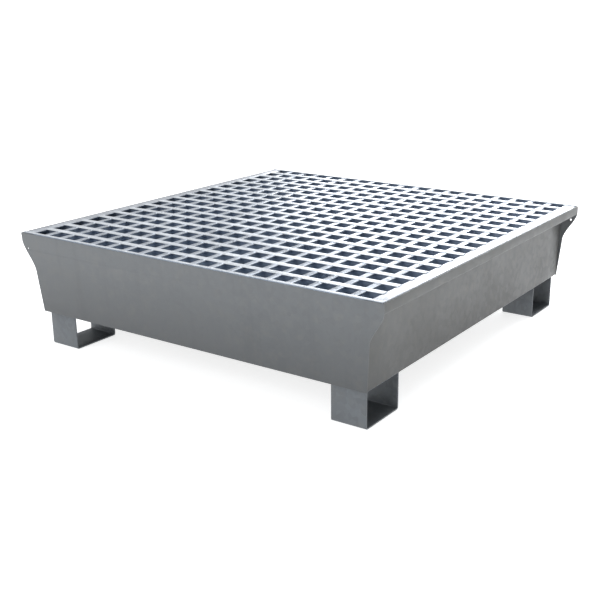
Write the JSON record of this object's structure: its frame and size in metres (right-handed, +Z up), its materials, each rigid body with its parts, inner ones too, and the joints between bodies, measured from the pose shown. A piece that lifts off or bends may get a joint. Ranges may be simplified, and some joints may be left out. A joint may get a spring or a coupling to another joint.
{
  "type": "spill containment pallet",
  "caption": "Low square galvanised-steel sump on fork-lift feet with a lift-out bar grating that carries drums and lets leaks drain into the sump.",
  "frame": {"origin": "on the floor under the middle of the pallet", "axes": "+X to the right along the front, +Y to the back, +Z up"},
  "size_m": [1.2, 1.2, 0.3353],
  "materials": {
    "sump_zinc": "hot-dip galvanised sheet, satin, faint spangle",
    "foot_zinc": "hot-dip galvanised plate, satin",
    "inner_zinc": "hot-dip galvanised steel, dull",
    "bar_zinc": "bright galvanised T-bar",
    "strap_zinc": "bright galvanised flat bar",
    "edge_zinc": "bright galvanised angle"
  },
  "bodies": {
    "sump": {"sump_pan": "sump_zinc", "front_end_plate": "sump_zinc", "back_end_plate": "sump_zinc", "middle_support": "inner_zinc", "left_ledge_angle": "inner_zinc", "right_ledge_angle": "inner_zinc", "front_left_foot": "foot_zinc", "front_right_foot": "foot_zinc", "back_left_foot": "foot_zinc", "back_right_foot": "foot_zinc"},
    "grating": {"front_band": "bar_zinc", "bearing_bar_01": "bar_zinc", "bearing_bar_02": "bar_zinc", "bearing_bar_03": "bar_zinc", "bearing_bar_04": "bar_zinc", "bearing_bar_05": "bar_zinc", "bearing_bar_06": "bar_zinc", "bearing_bar_07": "bar_zinc", "bearing_bar_08": "bar_zinc", "bearing_bar_09": "bar_zinc", "bearing_bar_10": "bar_zinc", "bearing_bar_11": "bar_zinc", "bearing_bar_12": "bar_zinc", "bearing_bar_13": "bar_zinc", "bearing_bar_14": "bar_zinc", "bearing_bar_15": "bar_zinc", "bearing_bar_16": "bar_zinc", "bearing_bar_17": "bar_zinc", "back_band": "bar_zinc", "cross_strap_01": "strap_zinc", "cross_strap_02": "strap_zinc", "cross_strap_03": "strap_zinc", "cross_strap_04": "strap_zinc", "cross_strap_05": "strap_zinc", "cross_strap_06": "strap_zinc", "cross_strap_07": "strap_zinc", "cross_strap_08": "strap_zinc", "cross_strap_09": "strap_zinc", "cross_strap_10": "strap_zinc", "cross_strap_11": "strap_zinc", "cross_strap_12": "strap_zinc", "cross_strap_13": "strap_zinc", "cross_strap_14": "strap_zinc", "cross_strap_15": "strap_zinc", "cross_strap_16": "strap_zinc", "cross_strap_17": "strap_zinc", "cross_strap_18": "strap_zinc", "left_edge_angle": "edge_zinc", "right_edge_angle": "edge_zinc"}
  },
  "joints": [
    {"name": "grating_lift", "type": "slide", "parent": "sump", "child": "grating", "axis": [0, 0, 1], "range_m": [0, 0.3]}
  ]
}
